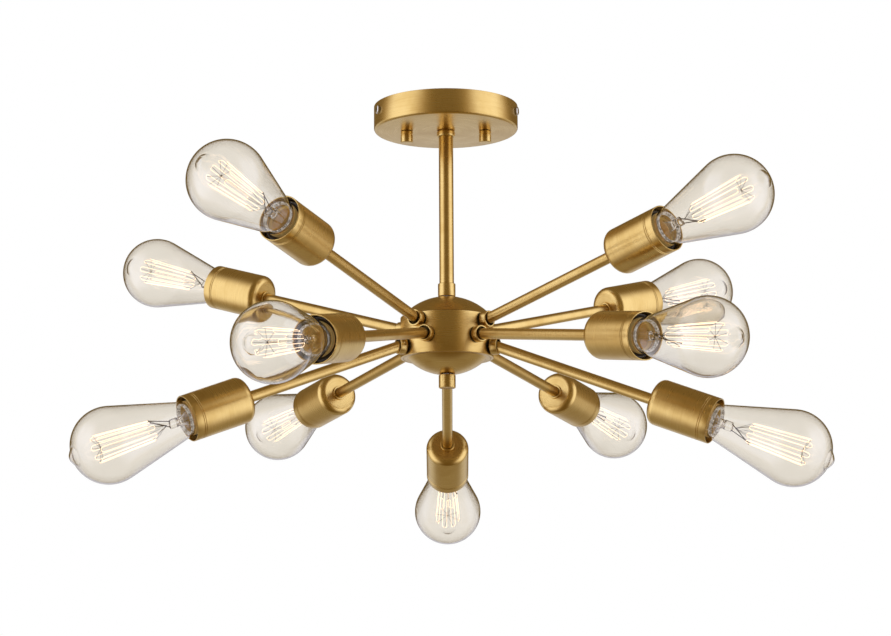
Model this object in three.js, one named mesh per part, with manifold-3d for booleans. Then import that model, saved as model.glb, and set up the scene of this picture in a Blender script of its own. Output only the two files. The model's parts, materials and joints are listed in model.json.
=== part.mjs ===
// A ceiling chandelier: a round hub on a short stem carries eleven bent arms on three tiers, and each arm
// carries a deep metal cup with a lampholder and a clear globe lamp. Millimetres, +Z up. The origin is the
// centre of the top face, where the fixture meets the ceiling.
import * as THREE from "three";
import { mergeVertices } from "three/addons/utils/BufferGeometryUtils.js";
import Module from "manifold-3d";

const wasm = await Module();
wasm.setup();

// ---- Sizes ----------------------------------------------------------------------------------------------

const gap = 0.3; // air left between two pieces that touch on the real fixture

const canopy = { radius: 63.5, height: 22, wall: 1.2, edgeRadius: 3 };
const bushing = { wall: 1.35, length: 5, edge: 1.2 }; // wall outside its running gap on the stem

const plate = { thickness: 2.5, width: 20, length: 92, earWidth: 13, earDrop: 13, drop: 0.5 };
const stud = { radius: 2, spacing: 69, intoNut: 8 };
const capNut = { radius: 5.4, length: 10, edge: 0.8 };
const sideScrew = {
  headRadius: 4,
  headHeight: 2.2,
  shankRadius: 1.7,
  depth: 8, // of its axis below the ceiling
  azimuths: { left: 202, right: 346 },
};

const stem = { radius: 6.35, wall: 1.2, exposed: 137.3, seat: 6 };
const coupling = { wall: 1, length: 11.4, edge: 0.6 };

const hub = { radius: 40.5, wall: 2.3, domeWall: 1.5, skirt: 2, edge: 0.4 };
const topDome = { ledge: 0.9, height: 18.2 }; // ledge of the band's edge left bare outside it
const bottomDome = { radius: 34.5, height: 14.1 }; // its flat rim fills the band out from here
const tieRod = { radius: 5, wall: 1.5, seat: 5 };
const finial = { wall: 2.05, length: 11.5, edge: 0.6 };

const tube = { radius: 4.75, wall: 0.9, length: 150, intoCup: 6, bendFromHub: 5 };
const collar = { wall: 2.45, length: 7.5 };
const spigot = { radius: 3.8, pastWall: 2 };

const cup = { radius: 19.75, wall: 1, length: 57.4, shoulder: 6.5, flangeWall: 1.55, flangeLength: 1.6 };
const holder = { front: 6, bottom: 5, wireHole: 3 };
const bulb = {
  radius: 32, // of the globe
  reach: 71, // from the cup's rim to the globe's centre
  coneAngle: 14.5, // half the angle of the neck, in degrees
  wall: 1,
  tipRadius: 7,
  tipHeight: 4.5,
  capRadius: 13.1,
  capTop: 5.5, // below the cup's rim
  capLength: 24,
  contact: 6, // length of the insulator and contact under the cap
  contactRadius: 6,
  opening: 3,
};

// Height of each tier of arms over the hub's middle.
const tierHeight = { upper: 11.5, middle: -2.2, lower: -10.2 };

// Each arm: its tier, and in degrees where its collar stands round the hub, where the arm points once bent,
// and how far it is bent up from level.
const arms = [
  { tier: "upper", collar: 42, azimuth: 40, tilt: 14 },
  { tier: "upper", collar: 150, azimuth: 150, tilt: 16.5 },
  { tier: "upper", collar: 234, azimuth: 238, tilt: 14 },
  { tier: "upper", collar: 320, azimuth: 315.5, tilt: 13.5 },
  { tier: "middle", collar: 54.5, azimuth: 60.5, tilt: -7.5 },
  { tier: "middle", collar: 122.5, azimuth: 120.5, tilt: -7.5 },
  { tier: "middle", collar: 245.5, azimuth: 245.5, tilt: -10.5 },
  { tier: "middle", collar: 308.5, azimuth: 309, tilt: -8.5 },
  { tier: "lower", collar: 90, azimuth: 90, tilt: -23 },
  { tier: "lower", collar: 208.5, azimuth: 205.5, tilt: -21 },
  { tier: "lower", collar: 337.5, azimuth: 339, tilt: -21.5 },
];

// Sides of the round pieces, by size.
const sides = { large: 28, hub: 24, ring: 12, small: 8, tube: 10, cup: 14, bulb: 14 };

// Worked out from the sizes above.
const stemHole = stem.radius + gap;
const tieRodHole = tieRod.radius + gap;
const tubeHole = tube.radius + gap;
const studHole = stud.radius + gap;
const collarRadius = tube.radius + collar.wall;
const halfHeight = tierHeight.upper + spigot.radius + gap + hub.skirt + hub.edge; // of the hub's band
const skirtRadius = hub.radius - hub.wall - gap; // of each dome's skirt, inside the band
const hubTop = halfHeight + gap + topDome.height;
const hubBottom = halfHeight + bottomDome.height; // below the hub's middle
const hubDrop = canopy.height + stem.exposed + coupling.length + gap + hubTop; // ceiling to hub middle
const bendRadius = hub.radius + tube.bendFromHub; // where an arm's axis leaves its collar's axis

// ---- Materials ------------------------------------------------------------------------------------------

const brass = new THREE.MeshStandardMaterial({ color: 0xb8923f, roughness: 0.38, metalness: 1 });
const steel = new THREE.MeshStandardMaterial({ color: 0xb9bbbd, roughness: 0.35, metalness: 1 });
const nickel = new THREE.MeshStandardMaterial({ color: 0xd6d4cf, roughness: 0.2, metalness: 1 });
const bakelite = new THREE.MeshStandardMaterial({ color: 0x17130f, roughness: 0.45, metalness: 0 });
const glass = new THREE.MeshStandardMaterial({
  color: 0xe9dfd0,
  roughness: 0.05,
  metalness: 0,
  transparent: true,
  opacity: 0.35,
});

// ---- Geometry helpers -----------------------------------------------------------------------------------

const up = new THREE.Vector3(0, 0, 1);
const radians = THREE.MathUtils.degToRad;

// Unit vector at an azimuth round +Z, tilted up from level, both in degrees.
function direction(azimuth, tilt = 0) {
  const level = Math.cos(radians(tilt));
  return new THREE.Vector3(
    level * Math.cos(radians(azimuth)),
    level * Math.sin(radians(azimuth)),
    Math.sin(radians(tilt)),
  );
}

// A closed outline of [radius, height] points turned round +Z. It runs up the outside and down the inside.
function turned(outline, count) {
  const points = outline.map(([r, z]) => new THREE.Vector2(r, z));
  if (outline[0][0] > 0) points.push(points[0].clone());
  return new THREE.LatheGeometry(points, count).rotateX(Math.PI / 2);
}

// Points of an arc round [r, z], from one angle to another in degrees, with 0 along the radius and 90 up.
function arc(r, z, radius, from, to, steps) {
  return Array.from({ length: steps + 1 }, (_, i) => {
    const angle = radians(from + ((to - from) * i) / steps);
    return [r + radius * Math.cos(angle), z + radius * Math.sin(angle)];
  });
}

// A solid round bar from one point to another.
function bar(radius, start, end, count) {
  const along = end.clone().sub(start);
  const geometry = new THREE.CylinderGeometry(radius, radius, along.length(), count);
  geometry.applyQuaternion(
    new THREE.Quaternion().setFromUnitVectors(new THREE.Vector3(0, 1, 0), along.clone().normalize()),
  );
  const middle = start.clone().add(end).multiplyScalar(0.5);
  return geometry.translate(middle.x, middle.y, middle.z);
}

// A bar along +Z at x, y.
function post(radius, x, y, bottom, top, count) {
  return bar(radius, new THREE.Vector3(x, y, bottom), new THREE.Vector3(x, y, top), count);
}

// A closed geometry as a solid that can be joined and cut.
function solid(geometry) {
  const bare = geometry.index ? geometry.toNonIndexed() : geometry.clone();
  bare.deleteAttribute("normal");
  bare.deleteAttribute("uv");
  const merged = mergeVertices(bare, 1e-4);
  return new wasm.Manifold(
    new wasm.Mesh({
      numProp: 3,
      vertProperties: merged.attributes.position.array,
      triVerts: new Uint32Array(merged.index.array),
    }),
  );
}

function joined(geometries) {
  return geometries.map(solid).reduce((whole, piece) => whole.add(piece));
}

function cut(base, tools) {
  return tools.map(solid).reduce((left, tool) => left.subtract(tool), base);
}

function geometryOf(made) {
  const mesh = made.getMesh();
  const positions = new Float32Array(mesh.numVert * 3);
  for (let i = 0; i < mesh.numVert; i += 1) {
    positions.set(mesh.vertProperties.subarray(i * mesh.numProp, i * mesh.numProp + 3), i * 3);
  }
  const geometry = new THREE.BufferGeometry();
  geometry.setAttribute("position", new THREE.BufferAttribute(positions, 3));
  geometry.setIndex(new THREE.BufferAttribute(new Uint32Array(mesh.triVerts), 1));
  geometry.computeVertexNormals();
  return geometry;
}

function piece(name, geometry, material, z = 0) {
  const mesh = new THREE.Mesh(geometry, material);
  mesh.name = name;
  mesh.position.z = z;
  return mesh;
}

// A tube along +Z from one height to another.
function pipe(radius, bore, bottom, top, count) {
  return turned([[bore, bottom], [radius, bottom], [radius, top], [bore, top]], count);
}

// ---- Ceiling end ----------------------------------------------------------------------------------------

// Where the left and the right stud stand.
const studPlaces = { left: -stud.spacing / 2, right: stud.spacing / 2 };

// A flat bar with two ears that reach out to the side screws and turn down behind the canopy's wall.
function mountingPlate() {
  const top = -plate.drop;
  const bottom = top - plate.thickness;
  const level = (top + bottom) / 2;
  const earEnd = canopy.radius - canopy.wall - 2 * gap;
  const earRadius = Math.sqrt(earEnd ** 2 - (plate.earWidth / 2) ** 2);
  const shapes = [new THREE.BoxGeometry(plate.length, plate.width, plate.thickness).translate(0, 0, level)];
  for (const azimuth of Object.values(sideScrew.azimuths)) {
    const flat = new THREE.BoxGeometry(earRadius, plate.earWidth, plate.thickness);
    const lip = new THREE.BoxGeometry(plate.thickness, plate.earWidth, plate.earDrop);
    flat.translate(earRadius / 2, 0, level).rotateZ(radians(azimuth));
    lip.translate(earRadius - plate.thickness / 2, 0, top - plate.earDrop / 2).rotateZ(radians(azimuth));
    shapes.push(flat, lip);
  }
  const holes = [post(stemHole, 0, 0, bottom - 1, top + 1, sides.ring)];
  for (const x of Object.values(studPlaces)) {
    holes.push(post(studHole, x, 0, bottom - 1, top + 1, sides.small));
  }
  return geometryOf(cut(joined(shapes), holes));
}

function canopyShell() {
  const { radius, height, wall, edgeRadius } = canopy;
  const inner = edgeRadius - wall;
  const shell = turned(
    [
      [stemHole, -height],
      ...arc(radius - edgeRadius, edgeRadius - height, edgeRadius, -90, 0, 2),
      [radius, 0],
      [radius - wall, 0],
      ...arc(radius - edgeRadius, edgeRadius - height, inner, 0, -90, 1),
      [stemHole, wall - height],
    ],
    sides.large,
  );
  const holes = Object.values(studPlaces).map((x) =>
    post(studHole, x, 0, -height - 1, wall - height + 1, sides.small),
  );
  for (const azimuth of Object.values(sideScrew.azimuths)) {
    const out = direction(azimuth);
    const start = out.clone().multiplyScalar(radius - 3 * wall).setZ(-sideScrew.depth);
    const end = out.clone().multiplyScalar(radius + wall).setZ(-sideScrew.depth);
    holes.push(bar(sideScrew.shankRadius + gap, start, end, sides.small));
  }
  return geometryOf(cut(solid(shell), holes));
}

function bushingRing() {
  const { wall, length, edge } = bushing;
  const middle = stemHole + wall - edge;
  return turned(
    [
      [stemHole, -length],
      ...arc(middle, edge - length, edge, -90, 0, 2),
      ...arc(middle, -edge, edge, 0, 90, 2),
      [stemHole, 0],
    ],
    sides.ring,
  );
}

// A plain barrel nut with a blind bore from its top.
function barrelNut() {
  const { radius, length, edge } = capNut;
  return turned(
    [
      [0, -length],
      [radius - edge, -length],
      [radius, edge - length],
      [radius, 0],
      [studHole, 0],
      [studHole, -stud.intoNut - gap],
      [0, -stud.intoNut - gap],
    ],
    sides.small,
  );
}

// A pan-head screw along +Z, head up. The shank ends just short of the ear behind the canopy's wall.
function panScrew() {
  const { headRadius, headHeight, shankRadius } = sideScrew;
  return turned(
    [
      [0, -canopy.wall - gap],
      [shankRadius, -canopy.wall - gap],
      [shankRadius, gap],
      [headRadius, gap],
      [headRadius, headHeight / 2],
      [headRadius / 2, headHeight],
      [0, headHeight],
    ],
    sides.small,
  );
}

function ceilingEnd() {
  const group = new THREE.Group();
  const floor = -canopy.height;
  group.add(piece("mounting_plate", mountingPlate(), steel));
  group.add(piece("canopy", canopyShell(), brass));
  group.add(piece("canopy_bushing", bushingRing(), brass, floor - gap));
  for (const [side, x] of Object.entries(studPlaces)) {
    const rod = piece(
      `plate_stud_${side}`,
      post(stud.radius, 0, 0, floor - gap - stud.intoNut, -plate.drop, sides.small),
      steel,
    );
    const nut = piece(`cap_nut_${side}`, barrelNut(), brass, floor - gap);
    rod.position.x = x;
    nut.position.x = x;
    group.add(rod, nut);
  }
  for (const [side, azimuth] of Object.entries(sideScrew.azimuths)) {
    const screw = piece(`canopy_screw_${side}`, panScrew(), nickel);
    const out = direction(azimuth);
    screw.position.copy(out.clone().multiplyScalar(canopy.radius)).setZ(-sideScrew.depth);
    screw.quaternion.setFromUnitVectors(up, out);
    group.add(screw);
  }
  return group;
}

// ---- Stem and hub ---------------------------------------------------------------------------------------

// One dome of the hub, right way up: a skirt inside the band, a flat rim at foot, and from its base radius a
// cap of a sphere.
function dome(foot, base, height) {
  const sphere = (base ** 2 + height ** 2) / (2 * height);
  const centre = foot + height - sphere;
  const inner = sphere - hub.domeWall;
  const underRim = foot - hub.domeWall;
  const skirtInside = skirtRadius - hub.domeWall;
  const innerBase = Math.min(skirtInside, Math.sqrt(inner ** 2 - (underRim - centre) ** 2));
  const angleAt = (r, ball) => THREE.MathUtils.radToDeg(Math.acos(r / ball));
  return turned(
    [
      [skirtInside, halfHeight - hub.skirt],
      [skirtRadius, halfHeight - hub.skirt],
      [skirtRadius, foot],
      ...arc(0, centre, sphere, angleAt(base, sphere), angleAt(tieRodHole, sphere), 4),
      ...arc(0, centre, inner, angleAt(tieRodHole, inner), angleAt(innerBase, inner), 3),
      [skirtInside, underRim],
    ],
    sides.hub,
  );
}

// The hub's wall, with a hole for each arm's spigot.
function hubBand() {
  const ring = pipe(hub.radius, hub.radius - hub.wall, -halfHeight, halfHeight, sides.hub);
  const holes = arms.map(({ tier, collar: azimuth }) => {
    const out = direction(azimuth);
    const start = out.clone().multiplyScalar(hub.radius - 3 * hub.wall).setZ(tierHeight[tier]);
    const end = out.clone().multiplyScalar(hub.radius + hub.wall).setZ(tierHeight[tier]);
    return bar(spigot.radius + gap, start, end, sides.small);
  });
  return geometryOf(cut(solid(ring), holes));
}

// The nut on top of the hub: the tie rod screws into its lower half, and the stem into its upper half.
function stemCoupling() {
  const { wall, length, edge } = coupling;
  const radius = stemHole + wall;
  return turned(
    [
      [tieRodHole, 0],
      [radius - edge, 0],
      [radius, edge],
      [radius, length - edge],
      [radius - edge, length],
      [stemHole, length],
      [stemHole, length - stem.seat],
      [tieRodHole, length - stem.seat],
    ],
    sides.ring,
  );
}

function bottomFinial() {
  const { wall, length, edge } = finial;
  const radius = tieRodHole + wall;
  return turned(
    [
      [0, -length],
      [radius - edge, -length],
      [radius, edge - length],
      [radius, 0],
      [tieRodHole, 0],
      [tieRodHole, -tieRod.seat - gap],
      [0, -tieRod.seat - gap],
    ],
    sides.ring,
  );
}

function stemTube() {
  const bottom = -canopy.height - stem.exposed - stem.seat + gap;
  return pipe(stem.radius, stem.radius - stem.wall, bottom, -plate.drop, sides.ring);
}

function hubPieces() {
  const group = new THREE.Group();
  const upper = dome(halfHeight + gap, hub.radius - topDome.ledge, topDome.height);
  const lower = dome(halfHeight, bottomDome.radius, bottomDome.height).rotateX(Math.PI);
  const rod = pipe(
    tieRod.radius,
    tieRod.radius - tieRod.wall,
    -hubBottom - gap - tieRod.seat,
    hubTop + gap + coupling.length - stem.seat,
    sides.small,
  );
  group.position.z = -hubDrop;
  group.add(
    piece("hub_band", hubBand(), brass),
    piece("hub_top_dome", upper, brass),
    piece("hub_bottom_dome", lower, brass),
    piece("hub_tie_rod", rod, steel),
    piece("stem_coupling", stemCoupling(), brass, hubTop + gap),
    piece("bottom_finial", bottomFinial(), brass, -hubBottom - gap),
  );
  return group;
}

// ---- One light ------------------------------------------------------------------------------------------

// An arm about its bend, with the tube along +Z: a spigot into the hub, a collar, and the tube. inward points
// from the bend back to the hub's axis.
function armTube(inward) {
  const at = (distance) => inward.clone().multiplyScalar(distance);
  const collarBack = tube.bendFromHub - gap;
  const spigotEnd = tube.bendFromHub + hub.wall + spigot.pastWall;
  const tubeEnd = new THREE.Vector3(0, 0, tube.length + tube.intoCup);
  const boreStart = new THREE.Vector3(0, 0, -1);
  const bore = tube.radius - tube.wall;
  const outside = joined([
    bar(collarRadius, at(collarBack), at(collarBack - collar.length), sides.ring),
    bar(spigot.radius, at(spigotEnd), at(0), sides.small),
    bar(tube.radius, new THREE.Vector3(), tubeEnd, sides.tube),
  ]);
  return geometryOf(
    cut(outside, [
      bar(spigot.radius - tube.wall, at(spigotEnd + 1), at(0), sides.small),
      bar(bore, boreStart, tubeEnd.clone().add(up), sides.tube),
    ]),
  );
}

// The deep metal cup, rim at height 0 and rear face down the arm, with a small flange round the tube.
function socketCup() {
  const { radius, wall, length, shoulder, flangeWall, flangeLength } = cup;
  return turned(
    [
      [tubeHole, -length],
      [tubeHole + flangeWall, -length],
      [tubeHole + flangeWall, flangeLength - length],
      ...arc(radius - shoulder, shoulder + flangeLength - length, shoulder, -90, 0, 2),
      [radius, 0],
      [radius - wall, 0],
      ...arc(radius - shoulder, shoulder + flangeLength - length, shoulder - wall, 0, -90, 1),
      [tubeHole, flangeLength + wall - length],
    ],
    sides.cup,
  );
}

// The black lampholder: a thick cup that fills the metal cup and takes the lamp's cap.
function lampholder() {
  const outside = cup.radius - cup.wall - gap;
  const bore = bulb.capRadius + gap;
  const floor = -bulb.capTop - bulb.capLength - bulb.contact - 1;
  return turned(
    [
      [holder.wireHole, floor - holder.bottom],
      [outside, floor - holder.bottom],
      [outside, -holder.front],
      [bore, -holder.front],
      [bore, floor],
      [holder.wireHole, floor],
    ],
    sides.cup,
  );
}

// The lamp as a thin shell, open at its contact: cap, tapering neck, globe and sealing tip.
function globeLamp() {
  const { radius, reach, coneAngle, wall, capRadius } = bulb;
  const slope = Math.tan(radians(coneAngle));
  const capEnd = -bulb.capTop - bulb.capLength;
  const neck = (sphere, z) => {
    const tangentRadius = sphere * Math.cos(radians(coneAngle));
    const tangentHeight = reach - sphere * Math.sin(radians(coneAngle));
    return [tangentRadius - (tangentHeight - z) * slope, z];
  };
  const tipAngle = THREE.MathUtils.radToDeg(Math.acos(bulb.tipRadius / radius));
  return turned(
    [
      [0, reach + radius - wall],
      ...arc(0, reach, radius - wall, 50, -coneAngle, 2),
      neck(radius - wall, -bulb.capTop),
      [capRadius - wall, -bulb.capTop - wall],
      [capRadius - wall, capEnd],
      [bulb.opening, capEnd - bulb.contact + wall],
      [bulb.opening, capEnd - bulb.contact],
      [bulb.contactRadius, capEnd - bulb.contact],
      [capRadius, capEnd],
      [capRadius, -bulb.capTop - wall],
      neck(radius, -bulb.capTop),
      ...arc(0, reach, radius, -coneAngle, tipAngle, 4),
      [0, reach + radius + bulb.tipHeight],
    ],
    sides.bulb,
  );
}

// A group with its origin at an arm's bend and +Z along the arm, holding the four pieces of one light.
function light(arm, number) {
  const group = new THREE.Group();
  const id = String(number).padStart(2, "0");
  const pointing = direction(arm.azimuth, arm.tilt);
  group.quaternion.setFromUnitVectors(up, pointing);
  group.position.copy(direction(arm.collar).multiplyScalar(bendRadius)).setZ(tierHeight[arm.tier] - hubDrop);
  const inward = direction(arm.collar).negate().applyQuaternion(group.quaternion.clone().invert());
  const rim = tube.length + cup.length;
  group.add(
    piece(`arm_${id}`, armTube(inward), brass),
    piece(`socket_cup_${id}`, socketCup(), brass, rim),
    piece(`lampholder_${id}`, lampholder(), bakelite, rim),
    piece(`bulb_${id}`, globeLamp(), glass, rim),
  );
  return group;
}

// ---- The chandelier -------------------------------------------------------------------------------------

const chandelier = new THREE.Group();
chandelier.add(ceilingEnd(), piece("stem", stemTube(), brass), hubPieces());
arms.forEach((arm, index) => chandelier.add(light(arm, index + 1)));

export default chandelier;
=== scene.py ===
"""The looks of a ceiling chandelier with eleven bent arms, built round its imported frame. Metres, +Z up."""
import json
import math

import bmesh
import bpy
from mathutils import Matrix, Vector


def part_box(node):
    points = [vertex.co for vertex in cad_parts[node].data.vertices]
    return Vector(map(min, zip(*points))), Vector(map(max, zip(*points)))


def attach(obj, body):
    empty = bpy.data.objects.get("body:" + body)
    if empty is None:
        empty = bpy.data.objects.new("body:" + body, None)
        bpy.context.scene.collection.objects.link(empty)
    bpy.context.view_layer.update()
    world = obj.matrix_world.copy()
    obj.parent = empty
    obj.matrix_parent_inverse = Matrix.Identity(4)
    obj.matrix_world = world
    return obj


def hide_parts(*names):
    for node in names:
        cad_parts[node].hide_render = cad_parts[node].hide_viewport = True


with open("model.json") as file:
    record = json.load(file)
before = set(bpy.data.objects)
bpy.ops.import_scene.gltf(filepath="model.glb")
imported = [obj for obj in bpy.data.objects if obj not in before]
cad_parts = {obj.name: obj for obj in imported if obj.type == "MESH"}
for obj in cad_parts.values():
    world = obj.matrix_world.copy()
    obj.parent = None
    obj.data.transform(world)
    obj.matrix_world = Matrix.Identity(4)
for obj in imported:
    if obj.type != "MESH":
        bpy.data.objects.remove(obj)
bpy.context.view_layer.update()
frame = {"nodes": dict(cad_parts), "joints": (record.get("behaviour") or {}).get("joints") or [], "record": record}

bl_info = {
    "name": "Eleven Arm Chandelier",
    "version": (1, 0, 0),
    "blender": (4, 5, 0),
    "location": "View3D > Sidebar > Chandelier",
    "description": "Builds a brushed brass chandelier with eleven clear lamps",
    "category": "Object",
}

UP = Vector((0, 0, 1))
OWN_PLACE = "own_place"  # attribute with a piece's coordinates on its own axis, which its grain follows
GAP = 0.0003  # air between two pieces that touch
FINE_EDGE = 0.0003  # radius of an edge that is barely broken


# ---- Places and sizes taken from the frame ---------------------------------------------------------------


def outer_radius(node):
    low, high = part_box(node)
    return (high.x - low.x) / 2


def floor_of(node):
    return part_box(node)[0].z


def top_of(node):
    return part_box(node)[1].z


def extent(node):
    """Of a turned node that stands upright: its floor, its top and its outer radius."""
    return floor_of(node), top_of(node), outer_radius(node)


CANOPY_WALL = 0.0012
CANOPY_RADIUS = outer_radius("canopy")
CANOPY_HEIGHT = -floor_of("canopy")
STEM_RADIUS = outer_radius("stem")
HUB_RADIUS = outer_radius("hub_band")
HUB_MIDDLE = (floor_of("hub_band") + top_of("hub_band")) / 2
HUB_HALF = (top_of("hub_band") - floor_of("hub_band")) / 2
HOLDER_MIDDLE = 0.02375  # of a lampholder, behind its cup's rim
RIM_FROM_BEND = 0.2074  # of a cup's rim, along the arm


def joint_axis(name):
    return Vector(next(joint["axis"] for joint in frame["joints"] if joint["name"] == name)).normalized()


class Light:
    """Where one arm and its lamp stand."""

    def __init__(self, number):
        self.id = f"{number:02d}"
        self.pointing = joint_axis(f"bulb_{self.id}_out")
        low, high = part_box(f"lampholder_{self.id}")
        self.rim = (low + high) / 2 + self.pointing * HOLDER_MIDDLE
        self.bend = self.rim - self.pointing * RIM_FROM_BEND
        self.outward = Vector((self.bend.x, self.bend.y, 0)).normalized()
        turn = UP.rotation_difference(self.pointing).to_matrix().to_4x4()
        self.place = Matrix.Translation(self.rim) @ turn


LIGHTS = [Light(number) for number in range(1, 12)]


# ---- Settings --------------------------------------------------------------------------------------------


def amount(name, description, default, **limits):
    return bpy.props.FloatProperty(name=name, description=description, default=default, **limits)


def length(name, description, default):
    return amount(name, description, default, min=0, unit="LENGTH", subtype="DISTANCE", precision=4)


def share(name, description, default):
    return amount(name, description, default, min=0, max=1, subtype="FACTOR")


def slant(name, description, degrees):
    return amount(name, description, math.radians(degrees), subtype="ANGLE")


def tint(name, description, default):
    return bpy.props.FloatVectorProperty(
        name=name, description=description, default=default, min=0, max=1, size=3, subtype="COLOR"
    )


class CeilingSizes(bpy.types.PropertyGroup):
    canopy_wall: length("Canopy wall", "Thickness of the canopy's sheet", CANOPY_WALL)
    canopy_edge: length("Canopy edge", "Radius of the canopy's lower edge", 0.0026)
    nut_groove: length("Nut groove", "Depth of the groove round each cap nut", 0.0004)
    nut_groove_place: length("Nut groove place", "Distance of the groove below the canopy", 0.0028)
    screw_recess: length("Screw recess", "Depth of the cross recess in each side screw", 0.0016)
    thread_pitch: length("Stud thread", "Pitch of the thread on the two studs", 0.0007)


class HubSizes(bpy.types.PropertyGroup):
    band_edge: length("Band edge", "Radius of the band's two edges", 0.0005)
    sheet: length("Dome sheet", "Thickness of the domes", 0.0015)
    ledge: length("Ledge", "How far the band's top edge stands out past the upper dome", 0.0009)
    lower_dome_radius: length("Lower dome", "Radius of the lower dome inside its flat rim", 0.0345)
    fitting_edge: length("Fitting edge", "Radius of the edges of the coupling and the finial", 0.0006)


class ArmSizes(bpy.types.PropertyGroup):
    tube_radius: length("Tube", "Radius of an arm's tube", 0.00475)
    tube_wall: length("Tube wall", "Thickness of an arm's tube", 0.0009)
    collar_radius: length("Collar", "Radius of the collar at the hub", 0.0072)
    collar_length: length("Collar length", "Length of the collar at the hub", 0.0075)
    collar_edge: length("Collar edge", "Radius of the collar's edges", 0.0005)
    collar_foot: length("Collar foot", "Height of the collar's narrower foot on the hub", 0.0011)
    seat_gap: length("Seat gap", "Gap round the tube in the collar's front", 0.0011)


class SocketSizes(bpy.types.PropertyGroup):
    cup_radius: length("Cup", "Radius of a socket cup", 0.01975)
    cup_wall: length("Cup wall", "Thickness of a socket cup", 0.001)
    cup_length: length("Cup length", "Length of a socket cup with its flange", 0.0574)
    cup_shoulder: length("Shoulder", "Radius of the rounding at the back of a cup", 0.0065)
    flange_radius: length("Flange", "Radius of the flange round the arm", 0.0066)
    flange_length: length("Flange length", "Length of the flange round the arm", 0.0016)
    groove_place: length("Groove place", "Distance of the first groove behind the rim", 0.0068)
    groove_depth: length("Groove depth", "Depth of the two grooves behind the rim", 0.0004)
    holder_front: length("Lampholder", "Depth of the lampholder's front behind the rim", 0.006)


class LampSizes(bpy.types.PropertyGroup):
    globe_radius: length("Globe", "Radius of the lamp's globe", 0.032)
    globe_reach: length("Reach", "Distance from the cup's rim to the globe's centre", 0.071)
    glass_wall: length("Glass wall", "Thickness of the lamp's glass", 0.0008)
    cap_radius: length("Cap", "Radius of the lamp's screw cap", 0.0131)
    cap_top: length("Cap top", "Distance of the cap's upper edge behind the rim", 0.0006)
    skirt_radius: length("Cap skirt", "Radius of the cap's plain skirt round the neck", 0.0146)
    skirt_length: length("Cap skirt length", "Length of the cap's plain skirt", 0.0048)
    cap_bottom: length("Cap bottom", "Distance of the cap's lower edge behind the rim", 0.0295)
    thread_pitch: length("Cap thread", "Pitch of the thread on the cap", 0.0036)
    seal_height: length("Seal height", "How far the crinkled seal stands out past the rim", 0.0034)
    cage_bottom: length("Cage bottom", "Distance from the rim to the lower filament hooks", 0.034)
    cage_top: length("Cage top", "Distance from the rim to the upper filament hooks", 0.0805)
    cage_bottom_radius: length("Cage bottom radius", "Radius of the ring of lower hooks", 0.0088)
    cage_top_radius: length("Cage top radius", "Radius of the ring of upper hooks", 0.0115)
    strand_radius: length("Strand", "Radius of a glowing strand", 0.00018)
    strands: bpy.props.IntProperty(name="Strands", description="Strands of the filament", default=16, min=4)


class Colours(bpy.types.PropertyGroup):
    brass: tint("Brass", "Brushed brass", (0.75, 0.54, 0.195))
    aged_brass: tint("Aged brass", "Brass where the lacquer has darkened", (0.56, 0.35, 0.085))
    brass_roughness: share("Brass roughness", "Mean roughness of the brushed brass", 0.29)
    steel: tint("Steel", "Zinc plated steel", (0.62, 0.63, 0.63))
    nickel: tint("Nickel", "Nickel plate", (0.78, 0.76, 0.72))
    bakelite: tint("Lampholder", "Moulded lampholder", (0.012, 0.01, 0.009))
    glass: tint("Glass", "Lightly tinted lamp glass", (0.945, 0.915, 0.86))
    glow: tint("Glow", "Light of the filament", (1.0, 0.67, 0.45))


class StageSettings(bpy.types.PropertyGroup):
    camera_distance: length("Camera distance", "Level distance from the stem to the camera", 2.215)
    camera_drop: length("Camera drop", "How far the camera is below the hub", 0.387)
    camera_tilt: slant("Camera tilt", "How far the camera looks up", 10.36)
    camera_roll: slant("Camera roll", "Turn of the camera about its axis", -0.3)
    lens: amount("Lens", "Focal length in millimetres", 104.4, min=1)
    floor_drop: length("Floor", "How far the floor is below the ceiling", 1.4)
    softbox: amount("Softboxes", "Strength of the softboxes", 1.36, min=0)


GROUPS = {
    "chandelier_ceiling": CeilingSizes,
    "chandelier_hub": HubSizes,
    "chandelier_arms": ArmSizes,
    "chandelier_sockets": SocketSizes,
    "chandelier_lamps": LampSizes,
    "chandelier_colours": Colours,
    "chandelier_stage": StageSettings,
}


# ---- Shader helpers --------------------------------------------------------------------------------------


class Wire:
    """One output of a node tree, so that sums and products of outputs read as Python."""

    def __init__(self, tree, socket):
        self.tree = tree
        self.socket = socket

    def _math(self, operation, *values):
        sockets = dict(enumerate(values))
        return self.tree.node("ShaderNodeMath", {"operation": operation}, sockets)

    def __add__(self, other):
        return self._math("ADD", self, other)

    def __sub__(self, other):
        return self._math("SUBTRACT", self, other)

    def __rsub__(self, other):
        return self._math("SUBTRACT", other, self)

    def __mul__(self, other):
        return self._math("MULTIPLY", self, other)

    def __pow__(self, other):
        return self._math("POWER", self, other)

    __radd__ = __add__
    __rmul__ = __mul__

    def clamped(self):
        return self._math("MINIMUM", self._math("MAXIMUM", self, 0.0), 1.0)

    def above(self, start, end):
        """0 below start, 1 past end, and a soft step between them."""
        return self.tree.node(
            "ShaderNodeMapRange",
            {"interpolation_type": "SMOOTHSTEP"},
            {"Value": self, "From Min": start, "From Max": end},
        )

    def within(self, start, full, fading, end):
        """1 from full to fading, 0 below start and past end, and soft steps between them."""
        return self.above(start, full) * (1.0 - self.above(fading, end))


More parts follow.
